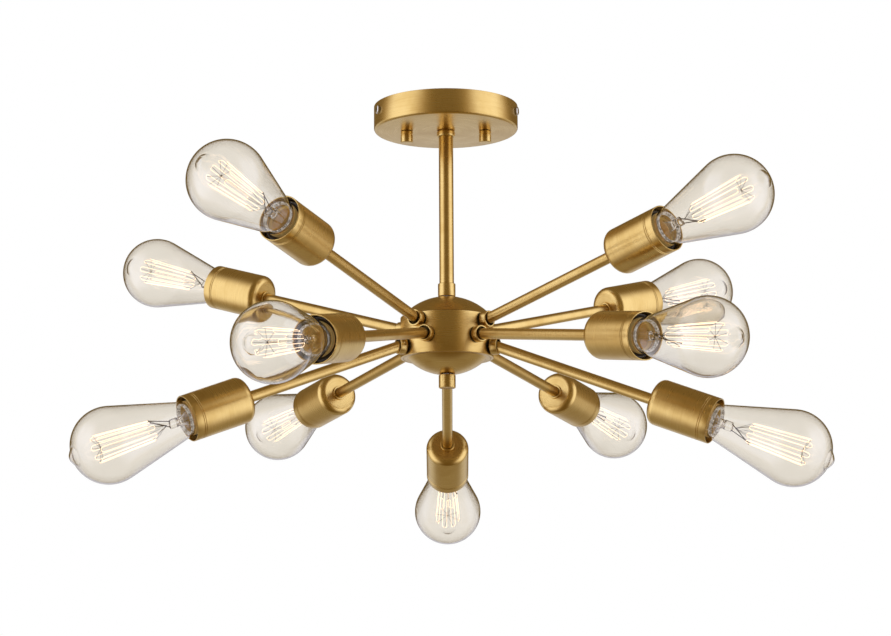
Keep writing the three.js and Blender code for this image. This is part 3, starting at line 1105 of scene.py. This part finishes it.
TUBE_INTO_CUP = 0.006
GROOVE_SPACING = 0.0016  # between the two grooves of a cup
GROOVE_SLOPE = 0.8  # half the width of a groove, as a share of its depth
HOLDER_FOOT = -0.0415  # heights below are along a lamp's axis, from the cup's rim
HOLDER_FLOOR = -0.0365
HOLDER_BORE = 0.0139
WIRE_HOLE = 0.003
MOUTH_STEP = 0.0012  # width and depth of the step in a lampholder's mouth
SHELL_INNER = 0.01345
SHELL_OUTER = 0.01385
SHELL_BOTTOM = -0.034
SHELL_TOP = -0.0078
SHELL_THREAD = 0.0003
SHELL_RINGS = 56
TONGUE_SIZE = (0.008, 0.004, 0.0004)
TONGUE_FOOT = -0.03655
DIMPLE_TOP = -0.0358


def collar_shape(sizes):
    """The collar on the hub, along +Z from its narrower foot, with a seat for the tube in its front."""
    radius = sizes.collar_radius
    front = sizes.collar_length
    seat = sizes.tube_radius + sizes.seat_gap
    foot = sizes.collar_foot
    return (
        Outline(0, 0)
        .to(radius - 1.2 * foot, 0)
        .to(radius - 1.2 * foot, foot)
        .to(radius, foot, sizes.collar_edge)
        .to(radius, front, sizes.collar_edge)
        .to(seat, front, sizes.collar_edge / 3, 2)
        .to(seat, front - SEAT_DEPTH)
        .to(0, front - SEAT_DEPTH)
        .turned(48)
    )


def tube_shape(sizes, start, end):
    """An arm's tube along +Z, open at its far end and closed by a half ball at the bend."""
    bore = sizes.tube_radius - sizes.tube_wall
    return (
        Outline(0, start - sizes.tube_radius)
        .sweep(0, start, 90, 8)
        .to(sizes.tube_radius, end)
        .to(bore, end)
        .to(bore, start)
        .to(0, start)
        .turned(40)
    )


def arm_shape(sizes, light, cup_length):
    tube = placed(tube_shape(sizes, -RIM_FROM_BEND, TUBE_INTO_CUP - cup_length), light.place)
    turn = UP.rotation_difference(light.outward).to_matrix().to_4x4()
    foot = light.outward * (HUB_RADIUS + GAP) + UP * light.bend.z
    collar = placed(collar_shape(sizes), Matrix.Translation(foot) @ turn)
    return gathered(tube, collar)


def cup_shape(sizes, tube_hole):
    """A socket cup along its axis, rim at height 0, with two fine grooves behind the rim."""
    radius = sizes.cup_radius
    inner = radius - sizes.cup_wall
    back = sizes.flange_length - sizes.cup_length
    floor = back + sizes.cup_wall
    deep = sizes.groove_depth
    outline = (
        Outline(tube_hole, -sizes.cup_length)
        .to(sizes.flange_radius, -sizes.cup_length, 0.0004, 3)
        .to(sizes.flange_radius, back)
        .to(radius, back, sizes.cup_shoulder, 12)
    )
    for place in (sizes.groove_place + GROOVE_SPACING, sizes.groove_place):
        outline.to(radius, -place - GROOVE_SLOPE * deep)
        outline.to(radius - deep, -place)
        outline.to(radius, -place + GROOVE_SLOPE * deep)
    return (
        outline.to(radius, 0, FINE_EDGE, 3)
        .to(inner, 0, FINE_EDGE, 3)
        .to(inner, floor, sizes.cup_shoulder - sizes.cup_wall, 8)
        .to(tube_hole, floor)
        .close()
        .turned(80)
    )


def lampholder_shape(sizes):
    """The moulded lampholder, with a stepped mouth and a bore for its screw shell."""
    outside = sizes.cup_radius - sizes.cup_wall - GAP
    front = -sizes.holder_front
    return (
        Outline(WIRE_HOLE, HOLDER_FOOT)
        .to(outside, HOLDER_FOOT, 0.001, 3)
        .to(outside, front, 0.0012, 4)
        .to(HOLDER_BORE + 0.0022, front, 0.0004, 2)
        .to(HOLDER_BORE + MOUTH_STEP, front - MOUTH_STEP)
        .to(HOLDER_BORE, front - 0.0014, FINE_EDGE, 2)
        .to(HOLDER_BORE, HOLDER_FLOOR)
        .to(WIRE_HOLE, HOLDER_FLOOR)
        .close()
        .turned(64)
    )


def screw_shell_shape(pitch):
    """The threaded sleeve inside the lampholder."""
    made = (
        Outline(SHELL_INNER, SHELL_BOTTOM)
        .to(SHELL_OUTER, SHELL_BOTTOM)
        .to(SHELL_OUTER, SHELL_TOP, rings=SHELL_RINGS)
        .to(SHELL_INNER, SHELL_TOP)
        .to(SHELL_INNER, SHELL_BOTTOM, rings=SHELL_RINGS)
        .turned(48)
    )
    middle = (SHELL_INNER + SHELL_OUTER) / 2
    for vertex in made.verts:
        radius = math.hypot(vertex.co.x, vertex.co.y)
        if radius < middle:
            grow = 1 + SHELL_THREAD * thread_wave(vertex.co, pitch) / radius
            vertex.co.x *= grow
            vertex.co.y *= grow
    return made


def spring_contact_shape():
    """The sprung tongue that meets the lamp's foot."""
    tongue = block(TONGUE_SIZE, (0.001, 0, TONGUE_FOOT + 0.0002), 0.0001)
    dimple = (
        Outline(0, TONGUE_FOOT)
        .to(0.0022, TONGUE_FOOT)
        .to(0.0014, DIMPLE_TOP, 0.0004, 3)
        .to(0, DIMPLE_TOP)
        .turned(20)
    )
    return gathered(tongue, dimple)


class CHANDELIER_OT_arms(bpy.types.Operator):
    """Build the eleven bent arms with their collars"""

    bl_idname = "chandelier.arms"
    bl_label = "Arms"

    def execute(self, context):
        sizes = context.scene.chandelier_arms
        cup_length = context.scene.chandelier_sockets.cup_length
        for light in LIGHTS:
            made = arm_shape(sizes, light, cup_length)
            add_piece(f"bent_arm_{light.id}", made, arm_brass(), "fixture", "brass", f"arm_{light.id}")
        return {"FINISHED"}


class CHANDELIER_OT_sockets(bpy.types.Operator):
    """Build the socket cups and the lampholders inside them"""

    bl_idname = "chandelier.sockets"
    bl_label = "Sockets"

    def execute(self, context):
        scene = context.scene
        sizes = scene.chandelier_sockets
        cup = cup_shape(sizes, scene.chandelier_arms.tube_radius + GAP)
        holder = lampholder_shape(sizes)
        shell = screw_shell_shape(scene.chandelier_lamps.thread_pitch)
        tongue = spring_contact_shape()
        black = finish_called("lampholder_bakelite", bakelite)
        metal = finish_called("lamp_cap_metal", lamp_cap_metal)
        parts = (
            ("cup", cup, wall_brass(), "brass", "socket_cup", 32),
            ("holder", holder, black, "lampholder_black", "lampholder", 32),
            ("screw_shell", shell, metal, "brass", "lampholder", 50),
            ("spring_contact", tongue, metal, "brass", "lampholder", 32),
        )
        for light in LIGHTS:
            for part, shape, finish, slot, kind, crease in parts:
                made = placed(shape.copy(), light.place)
                node = f"{kind}_{light.id}"
                add_piece(f"{part}_{light.id}", made, finish, "fixture", slot, node, crease=crease)
        return {"FINISHED"}


# ---- Lamps -----------------------------------------------------------------------------------------------

CONE = math.radians(14.5)  # half the angle of a lamp's neck
GLASS_MOUTH = 0.001  # height at which the neck turns straight
GLASS_FOOT = 0.0036  # depth of the neck's foot below the cap's upper edge
SKIRT_WALL = 0.0008  # of a cap's skirt, with the cement in it
TIP_BASE = 0.0085
INNER_TIP_BASE = 0.0076
FLARE_RADIUS = 0.0104
FLARE_WALL = 0.0007
FLARE_FOOT = -0.0045
FLARE_NECK = 0.0046
PRESS_RADIUS = 0.0034
PRESS_TOP = 0.0165
PRESS_WIDTH = 1.25  # of the pinched press, as a share of a round one
PRESS_FLATNESS = 0.42
STALK_RADIUS = 0.0008
HUB_BELOW_HOOKS = 0.002  # of the upper hooks' hub on the stalk
LOWER_HUB = 0.019  # height at which the lower hooks meet
FIRST_STRAND = math.radians(5)  # angle of the first strand's ends round the axis
HOOK_RADIUS = 0.00015
CAP_SHEET = 0.0004
CAP_THREAD = 0.0008
CAP_LINING = 0.0016  # of the cap's inside, from its radius
CAP_HOLE_INSET = 0.006
INSULATOR_INSET = 0.0064
SEAL_AIR = 0.0002
SEAL_WALL = 0.0012


def envelope_shape(sizes):
    """The glass of a lamp: down the inside from the crown to the foot, and up the outside to the tip."""
    reach = sizes.globe_reach
    outer = sizes.globe_radius
    inner = outer - sizes.glass_wall
    neck = sizes.skirt_radius - SKIRT_WALL
    inner_neck = neck - sizes.glass_wall
    bend = GLASS_MOUTH - 0.0012
    foot = -sizes.cap_top - GLASS_FOOT

    def neck_radius(globe):
        level = reach - globe * math.sin(CONE)
        return globe * math.cos(CONE) - (level - GLASS_MOUTH) * math.tan(CONE)

    tip = math.acos(TIP_BASE / outer)
    inner_tip = math.acos(INNER_TIP_BASE / inner)
    crown = reach + outer
    return (
        Outline(0, crown + 0.0025)  # inside of the sealed tip
        .to(0.002, crown + 0.0022, 0.0008, 3)
        .to(0.005, crown + 0.0006, 0.0012, 3)
        .to(INNER_TIP_BASE, reach + inner * math.sin(inner_tip), 0.0006, 2)
        .sweep(0, reach, -math.degrees(inner_tip + CONE), 28)
        .to(neck_radius(inner), GLASS_MOUTH, 0.0006, 3)
        .to(inner_neck, bend, 0.0006, 3)
        .to(inner_neck, foot)
        .to(neck, foot, 0.0002, 2)
        .to(neck, bend, 0.0006, 3)
        .to(neck_radius(outer), GLASS_MOUTH, 0.0006, 3)
        .to(outer * math.cos(CONE), reach - outer * math.sin(CONE))
        .sweep(0, reach, math.degrees(tip + CONE), 28)
        .to(0.006, crown + 0.001, 0.0014, 3)  # outside of the sealed tip
        .to(0.0026, crown + 0.0032, 0.0012, 3)
        .to(0, crown + 0.0035)
        .turned(96)
    )


def glass_stem_shape(sizes):
    """The hollow flare, the pinched press and the slim rod that carry a lamp's wires."""
    neck = FLARE_FOOT + 0.006
    flare = (
        Outline(0, 0.0085)
        .to(PRESS_RADIUS - FLARE_WALL, 0.0075, 0.0006, 2)
        .to(FLARE_NECK - FLARE_WALL, neck, 0.0016, 4)
        .to(FLARE_RADIUS - FLARE_WALL, FLARE_FOOT)
        .to(FLARE_RADIUS, FLARE_FOOT, 0.0002, 2)
        .to(FLARE_NECK, neck, 0.002, 4)
        .to(PRESS_RADIUS, 0.0105, 0.0015, 4)
        .to(PRESS_RADIUS, PRESS_TOP, 0.0012, 3)
        .to(0, PRESS_TOP)
        .turned(40)
    )
    pinch = [vertex for vertex in flare.verts if vertex.co.z > 0.0095]
    bmesh.ops.scale(flare, vec=(PRESS_WIDTH, PRESS_FLATNESS, 1), verts=pinch)
    stalk = rod(STALK_RADIUS, (0, 0, PRESS_TOP + 0.0002), (0, 0, sizes.cage_top - HUB_BELOW_HOOKS), 16)
    return gathered(flare, stalk)


def seal_shape(sizes):
    """The crinkled ring inside the neck where the glass is fused to its stem."""
    outside = sizes.skirt_radius - SKIRT_WALL - sizes.glass_wall - SEAL_AIR
    foot = 0.0002
    return (
        Outline(outside - SEAL_WALL, foot)
        .to(outside, foot, 0.0004, 2)
        .to(outside + 0.0006, sizes.seal_height, 0.0006, 3)
        .to(outside - 0.0008, sizes.seal_height - 0.0004, 0.0004, 2)
        .close()
        .turned(64)
    )


def hook_place(sizes, index, upper):
    """A point of the cage: strand ends stand evenly round the axis."""
    angle = math.tau * index / sizes.strands + FIRST_STRAND
    radius = sizes.cage_top_radius if upper else sizes.cage_bottom_radius
    height = sizes.cage_top if upper else sizes.cage_bottom
    return Vector((radius * math.cos(angle), radius * math.sin(angle), height))


def filament_shape(sizes):
    """The filament, strung up and down between the upper and the lower hooks."""
    parts = []
    for index in range(sizes.strands):
        low, high = hook_place(sizes, index, False), hook_place(sizes, index, True)
        parts.append(rod(sizes.strand_radius, low, high, 6))
        upper = index % 2 == 0
        if index == sizes.strands - 1:
            continue
        start, end = hook_place(sizes, index, upper), hook_place(sizes, index + 1, upper)
        out = Vector((start.x + end.x, start.y + end.y, 0)).normalized()
        parts.append(crook(sizes.strand_radius, start, (start + end) / 2, out if upper else -out, -180))
    return gathered(*parts)


def lead_shape(sizes):
    """The leads out of the press, and the hooks that hold the filament at both ends."""
    lower_hub = UP * LOWER_HUB
    upper_hub = UP * (sizes.cage_top - HUB_BELOW_HOOKS)
    parts = []
    for index in range(sizes.strands - 1):
        upper = index % 2 == 0
        middle = (hook_place(sizes, index, upper) + hook_place(sizes, index + 1, upper)) / 2
        reach = middle + UP * (0.0018 if upper else -0.0014)
        parts.append(rod(HOOK_RADIUS, upper_hub if upper else lower_hub, reach, 6))
        parts.append(ball(2.2 * HOOK_RADIUS, reach, 8))
    for index, side in ((0, 1), (sizes.strands - 1, -1)):
        end = hook_place(sizes, index, False)
        foot = UP * PRESS_TOP + Vector((0.0026 * side, 0, -0.001))
        parts.append(rod(2.6 * HOOK_RADIUS, foot, end, 6))
        parts.append(ball(4.6 * HOOK_RADIUS, end, 8))
    return gathered(*parts)


def cap_shape(sizes):
    """The screw cap of a lamp, with a plain skirt round the neck and a rolled upper edge."""
    radius = sizes.cap_radius
    skirt = sizes.skirt_radius
    lining = radius - CAP_LINING
    hole = radius - CAP_HOLE_INSET
    top, bottom = -sizes.cap_top, -sizes.cap_bottom
    shoulder = top - sizes.skirt_length
    made = (
        Outline(skirt - CAP_SHEET, shoulder + CAP_SHEET)
        .to(skirt - CAP_SHEET, top - CAP_SHEET)
        .to(skirt - 0.0001, top, 0.0002, 2)
        .to(skirt, top - 0.0006, 0.0002, 2)
        .to(skirt, shoulder, 0.0006, 3)
        .to(radius, shoulder - 0.0006, 0.0004, 2)
        .to(radius, bottom + 0.001, rings=96)
        .to(radius - 0.0012, bottom, 0.0006, 3)
        .to(hole, bottom - 0.0008)
        .to(hole, bottom + 0.0005)
        .to(lining, bottom + 0.0015)
        .to(lining, shoulder - 0.0008)
        .close()
        .turned(56)
    )
    reach = radius - 0.00045
    return threaded(made, bottom + 0.001, shoulder - 0.001, sizes.thread_pitch, CAP_THREAD, reach)


def insulator_shape(sizes):
    bottom = -sizes.cap_bottom
    edge = sizes.cap_radius - INSULATOR_INSET
    return (
        Outline(0, bottom + 0.0004)
        .to(edge, bottom + 0.0004)
        .to(edge, bottom - 0.0012)
        .to(0.0048, bottom - 0.0045, 0.0008, 3)
        .to(0, bottom - 0.0045)
        .turned(40)
    )


def foot_contact_shape(sizes):
    bottom = -sizes.cap_bottom - 0.0046
    top, foot = bottom + 0.0003, bottom - 0.0013
    return Outline(0, top).to(0.0036, bottom, 0.0002, 2).to(0.0028, foot, 0.0008, 3).to(0, foot).turned(32)


class CHANDELIER_OT_lamps(bpy.types.Operator):
    """Build the eleven lamps: glass, stem, filament, leads, cap and foot"""

    bl_idname = "chandelier.lamps"
    bl_label = "Lamps"

    def execute(self, context):
        sizes = context.scene.chandelier_lamps
        globe_glass = finish_called("tinted_lamp_glass", tinted_glass)
        stem_glass = finish_called("clear_stem_glass", tinted_glass, strength=0.3)
        seal_glass = finish_called("crinkled_seal_glass", crinkled_glass)
        glowing = finish_called("glowing_wire", glowing_wire)
        wire = finish_called("support_wire", support_wire)
        metal = finish_called("lit_cap_metal", lamp_cap_metal, lit=0.3)
        black = finish_called("lampholder_bakelite", bakelite)
        parts = (
            ("globe", envelope_shape(sizes), globe_glass, "lamp_glass"),
            ("glass_stem", glass_stem_shape(sizes), stem_glass, "lamp_glass"),
            ("seal", seal_shape(sizes), seal_glass, "lamp_glass"),
            ("filament", filament_shape(sizes), glowing, "nickel_screw"),
            ("leads", lead_shape(sizes), wire, "nickel_screw"),
            ("cap", cap_shape(sizes), metal, "brass"),
            ("insulator", insulator_shape(sizes), black, "lampholder_black"),
            ("foot_contact", foot_contact_shape(sizes), finish_called("solder", solder), "plated_steel"),
        )
        for light in LIGHTS:
            node = f"bulb_{light.id}"
            for part, shape, finish, slot in parts:
                made = placed(shape.copy(), light.place)
                add_piece(f"{part}_{light.id}", made, finish, node, slot, node, crease=40)
        return {"FINISHED"}


# ---- Stage -----------------------------------------------------------------------------------------------


DIM_ROOM = (0.18, 0.115, 0.036)
PALE_BACKDROP = (0.68, 0.67, 0.72)
WARM_FLOOR = (0.36, 0.3, 0.22)
WARM_GLOW = (0.5, 0.335, 0.12)
SOFTBOX_LIGHT = (1.0, 1.0, 1.18)
WHITE = (1.0, 1.0, 1.0)
CAMERA_ASIDE = -0.0012


def studio_light(settings):
    """A dim warm room with two tall softboxes in a warm glow, as reflected, and plain white directly."""
    world = bpy.data.worlds.new("studio")
    bpy.context.scene.world = world
    world.use_nodes = True
    tree = Tree(world.node_tree.nodes, world.node_tree.links)
    x, y, z = tree.parts(tree.node("ShaderNodeTexCoord", None, None, 0))
    azimuth = tree.node("ShaderNodeMath", {"operation": "ARCTAN2"}, {0: x, 1: 0.0 - y}) * (180 / math.pi)
    aside = tree.node("ShaderNodeMath", {"operation": "ABSOLUTE"}, {0: azimuth})
    fall = 0.0 - z
    level = 1.0 - z.above(0.5, 0.95) - fall.above(0.35, 0.9)
    glow = aside.within(21.0, 46.0, 102.0, 128.0) * level
    boxes = aside.within(35.0, 57.0, 92.0, 114.0) * level
    behind = y.above(0.0, 0.45)
    room = tree.blend(behind * fall.above(-0.06, 0.1), rgba(DIM_ROOM), rgba(PALE_BACKDROP))
    room = tree.blend(behind * fall.above(0.32, 0.6), room, rgba(WARM_FLOOR))
    room = tree.blend(glow, room, rgba(WARM_GLOW))
    room = tree.blend(boxes, room, rgba(SOFTBOX_LIGHT, settings.softbox))
    glossy, diffuse = (
        tree.node("ShaderNodeLightPath", None, None, depth) for depth in ("Glossy Depth", "Diffuse Depth")
    )
    light = tree.blend((glossy + diffuse).clamped(), rgba(WHITE), room)
    background = tree.nodes["Background"]
    tree.links.new(light.socket, background.inputs["Color"])
    background.inputs["Strength"].default_value = 1.0


def floor_piece(settings):
    made = bmesh.new()
    place = Matrix.Translation((0, 0, -settings.floor_drop))
    bmesh.ops.create_grid(made, x_segments=1, y_segments=1, size=6, matrix=place)
    floor = bpy.data.objects.new("floor", as_mesh(made, "floor"))
    floor.data.materials.append(finish_called("pale_floor", pale_floor))
    bpy.context.scene.collection.objects.link(floor)
    floor.visible_glossy = False
    floor.visible_transmission = False


def camera_piece(settings):
    lens = bpy.data.cameras.new("camera")
    lens.sensor_width = 36
    lens.lens = settings.lens
    lens.clip_start = 0.01
    camera = bpy.data.objects.new("camera", lens)
    camera.location = (CAMERA_ASIDE, -settings.camera_distance, HUB_MIDDLE - settings.camera_drop)
    aim = Matrix.Rotation(math.pi / 2 + settings.camera_tilt, 4, "X")
    roll = Matrix.Rotation(settings.camera_roll, 4, "Z")
    camera.rotation_euler = (aim @ roll).to_euler()
    bpy.context.scene.collection.objects.link(camera)
    bpy.context.scene.camera = camera


class CHANDELIER_OT_stage(bpy.types.Operator):
    """Set the floor, the studio light and the camera"""

    bl_idname = "chandelier.stage"
    bl_label = "Stage"

    def execute(self, context):
        settings = context.scene.chandelier_stage
        context.scene.view_settings.view_transform = "Standard"
        studio_light(settings)
        floor_piece(settings)
        camera_piece(settings)
        return {"FINISHED"}


# ---- Add-on ----------------------------------------------------------------------------------------------

OPERATORS = [
    CHANDELIER_OT_stage,
    CHANDELIER_OT_canopy,
    CHANDELIER_OT_fixings,
    CHANDELIER_OT_stem,
    CHANDELIER_OT_hub,
    CHANDELIER_OT_arms,
    CHANDELIER_OT_sockets,
    CHANDELIER_OT_lamps,
]


class CHANDELIER_PT_pieces(bpy.types.Panel):
    """Lists the operators in the order in which they build the chandelier"""

    bl_label = "Chandelier"
    bl_idname = "CHANDELIER_PT_pieces"
    bl_space_type = "VIEW_3D"
    bl_region_type = "UI"
    bl_category = "Chandelier"

    def draw(self, context):
        for operator in OPERATORS:
            self.layout.operator(operator.bl_idname)


CLASSES = [*GROUPS.values(), *OPERATORS, CHANDELIER_PT_pieces]


def register():
    for kind in CLASSES:
        bpy.utils.register_class(kind)
    for name, group in GROUPS.items():
        setattr(bpy.types.Scene, name, bpy.props.PointerProperty(type=group))


def unregister():
    for name in GROUPS:
        delattr(bpy.types.Scene, name)
    for kind in reversed(CLASSES):
        bpy.utils.unregister_class(kind)


def main():
    register()
    bpy.ops.chandelier.stage()
    bpy.ops.chandelier.canopy()
    bpy.ops.chandelier.fixings()
    bpy.ops.chandelier.stem()
    bpy.ops.chandelier.hub()
    bpy.ops.chandelier.arms()
    bpy.ops.chandelier.sockets()
    bpy.ops.chandelier.lamps()


if __name__ == "__main__":
    main()
